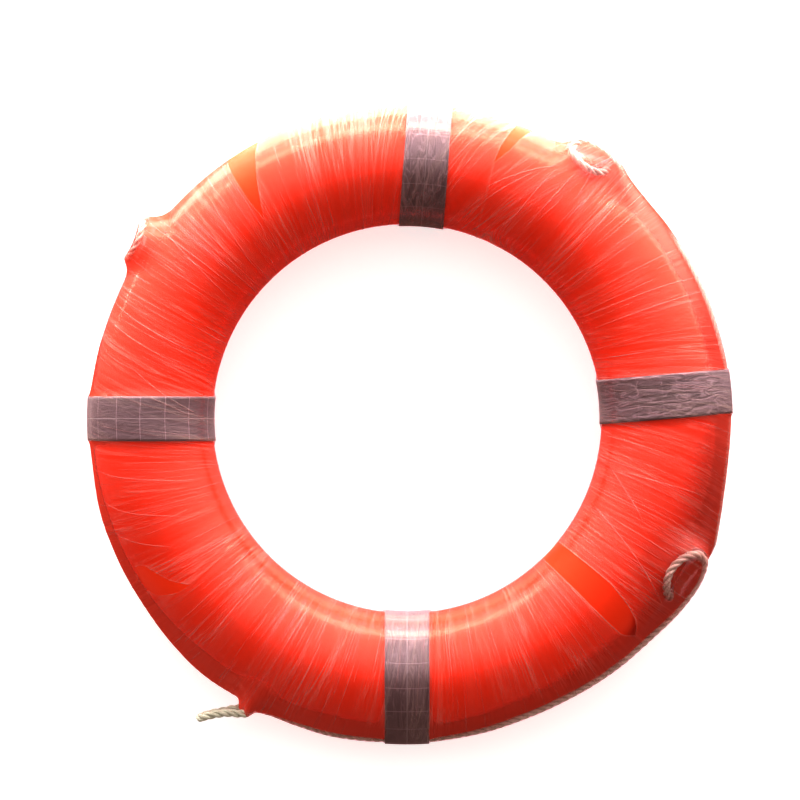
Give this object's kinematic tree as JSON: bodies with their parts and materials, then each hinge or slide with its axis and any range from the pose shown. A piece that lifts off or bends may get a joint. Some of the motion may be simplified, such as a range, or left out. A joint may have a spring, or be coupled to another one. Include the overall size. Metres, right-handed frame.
{
  "type": "life ring",
  "caption": "Ring-shaped life buoy with a hard foam-filled shell, reflective bands and a grab line looped round its edge, in clear film.",
  "frame": {"origin": "on the ring's axis, at the level of the surface that the ring lies on", "axes": "+Z along the ring's axis towards the front that the picture shows, +X to the right and +Y up in the picture"},
  "size_m": [0.732, 0.7295, 0.1098],
  "materials": {
    "shell_plastic": "smooth gloss",
    "rigid_foam": "fine cellular foam",
    "plug_plastic": "moulded",
    "sleeve_plastic": "shrunk plastic sleeve",
    "woven_strap": "woven webbing",
    "reflective_tape": "silver grid tape",
    "twisted_rope": "three-strand twisted rope",
    "clear_film": "clear stretch film"
  },
  "bodies": {
    "root": {"front_shell": "shell_plastic", "back_shell": "shell_plastic", "foam_core": "rigid_foam", "foam_fill_plug": "plug_plastic", "foam_vent_plug": "plug_plastic", "line_joint_sleeve": "sleeve_plastic", "line_strap_right": "woven_strap", "line_strap_top": "woven_strap", "line_strap_left": "woven_strap", "line_strap_bottom": "woven_strap", "reflective_band_right": "reflective_tape", "reflective_band_top": "reflective_tape", "reflective_band_left": "reflective_tape", "reflective_band_bottom": "reflective_tape", "grab_line_upper_right": "twisted_rope", "grab_line_upper_left": "twisted_rope", "grab_line_lower_left": "twisted_rope", "grab_line_lower_right": "twisted_rope", "film_wrap_upper_right": "clear_film", "film_wrap_upper_left": "clear_film", "film_wrap_lower_left": "clear_film", "film_wrap_lower_right": "clear_film"}
  },
  "joints": []
}
